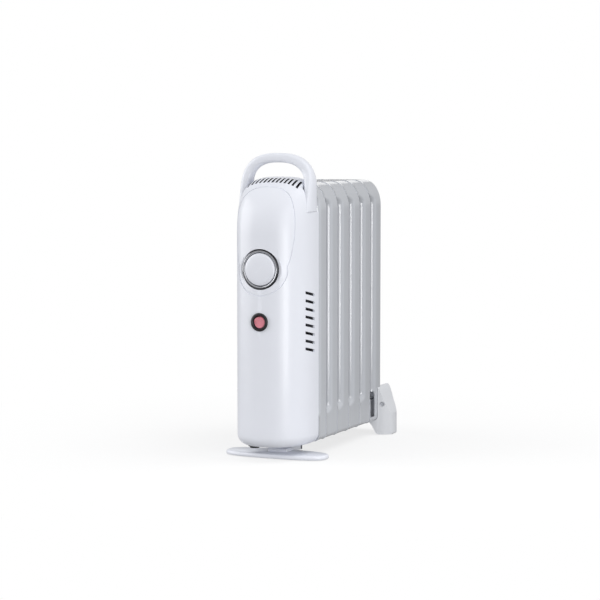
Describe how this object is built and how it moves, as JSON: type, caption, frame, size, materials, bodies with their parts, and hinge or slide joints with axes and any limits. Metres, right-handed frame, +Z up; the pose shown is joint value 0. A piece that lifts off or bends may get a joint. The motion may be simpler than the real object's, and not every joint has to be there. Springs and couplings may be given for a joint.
{
  "type": "oil filled radiator heater",
  "caption": "Upright oil filled radiator on two feet: pressed steel fins behind a white control housing with arched handle, round dial and rocker switch.",
  "frame": {"origin": "bottom centre of the bounding box, on the floor plane", "axes": "+Z up, fins stacked along Y, control panel facing -Y, width along X"},
  "size_m": [0.1378, 0.32, 0.385],
  "materials": {
    "white_plastic": "white moulded plastic, satin gloss",
    "grey_plastic": "light grey moulded plastic, satin",
    "fin_paint": "light grey-white baked enamel on pressed steel, glossy",
    "chrome_trim": "bright plated trim ring",
    "steel": "plain zinc-plated steel",
    "black_plastic": "near-black moulded plastic",
    "red_plastic": "translucent red-pink, glossy",
    "rubber": "dark matt rubber",
    "ceramic": "cream ceramic-like heat-proof moulding",
    "brass": "plain brass strip",
    "wire_insulation": "brown heat-proof sleeve"
  },
  "bodies": {
    "heater": {"fin_1": "fin_paint", "fin_2": "fin_paint", "fin_3": "fin_paint", "fin_4": "fin_paint", "fin_5": "fin_paint", "fin_6": "fin_paint", "front_oil_cap": "steel", "rear_oil_cap": "fin_paint", "filler_plug": "steel", "heating_element": "steel", "element_gasket": "rubber", "element_flange": "steel", "element_terminal_1": "brass", "element_terminal_2": "brass", "front_cover": "white_plastic", "handle": "white_plastic", "handle_screw_1": "steel", "handle_screw_2": "steel", "heat_shield": "steel", "shield_spacer_1": "steel", "shield_screw_1": "steel", "shield_spacer_2": "steel", "shield_screw_2": "steel", "cover_screw_1": "steel", "cover_screw_2": "steel", "cover_screw_3": "steel", "cover_screw_4": "steel", "dial_bezel": "chrome_trim", "thermostat_bracket": "steel", "thermostat_body": "ceramic", "thermostat_screw_1": "steel", "thermostat_screw_2": "steel", "bimetal_blade": "brass", "switch_body": "black_plastic", "switch_terminal_1": "brass", "switch_terminal_2": "brass", "switch_terminal_3": "brass", "cord_gland": "black_plastic", "terminal_block": "ceramic", "thermal_cutout": "ceramic", "live_wire": "wire_insulation", "thermostat_wire": "wire_insulation", "element_wire": "wire_insulation", "front_foot": "white_plastic", "front_pad_1": "rubber", "front_pad_2": "rubber", "foot_u_bolt": "steel", "foot_nut_1": "steel", "foot_nut_2": "steel", "rear_foot": "grey_plastic", "rear_pad_1": "rubber", "rear_pad_2": "rubber", "foot_screw_1": "steel", "foot_screw_2": "steel"},
    "thermostat_dial": {"thermostat_knob": "white_plastic", "thermostat_spindle": "steel"},
    "power_rocker": {"switch_rocker": "red_plastic"}
  },
  "joints": [
    {"name": "dial_turn", "type": "hinge", "parent": "heater", "child": "thermostat_dial", "pos_m": [0, -0.1529, 0.2415], "axis": [0, 1, 0], "range_deg": [0, 280]},
    {"name": "rocker_tip", "type": "hinge", "parent": "heater", "child": "power_rocker", "pos_m": [0, -0.1559, 0.176], "axis": [1, 0, 0], "range_deg": [-18, 0]}
  ]
}
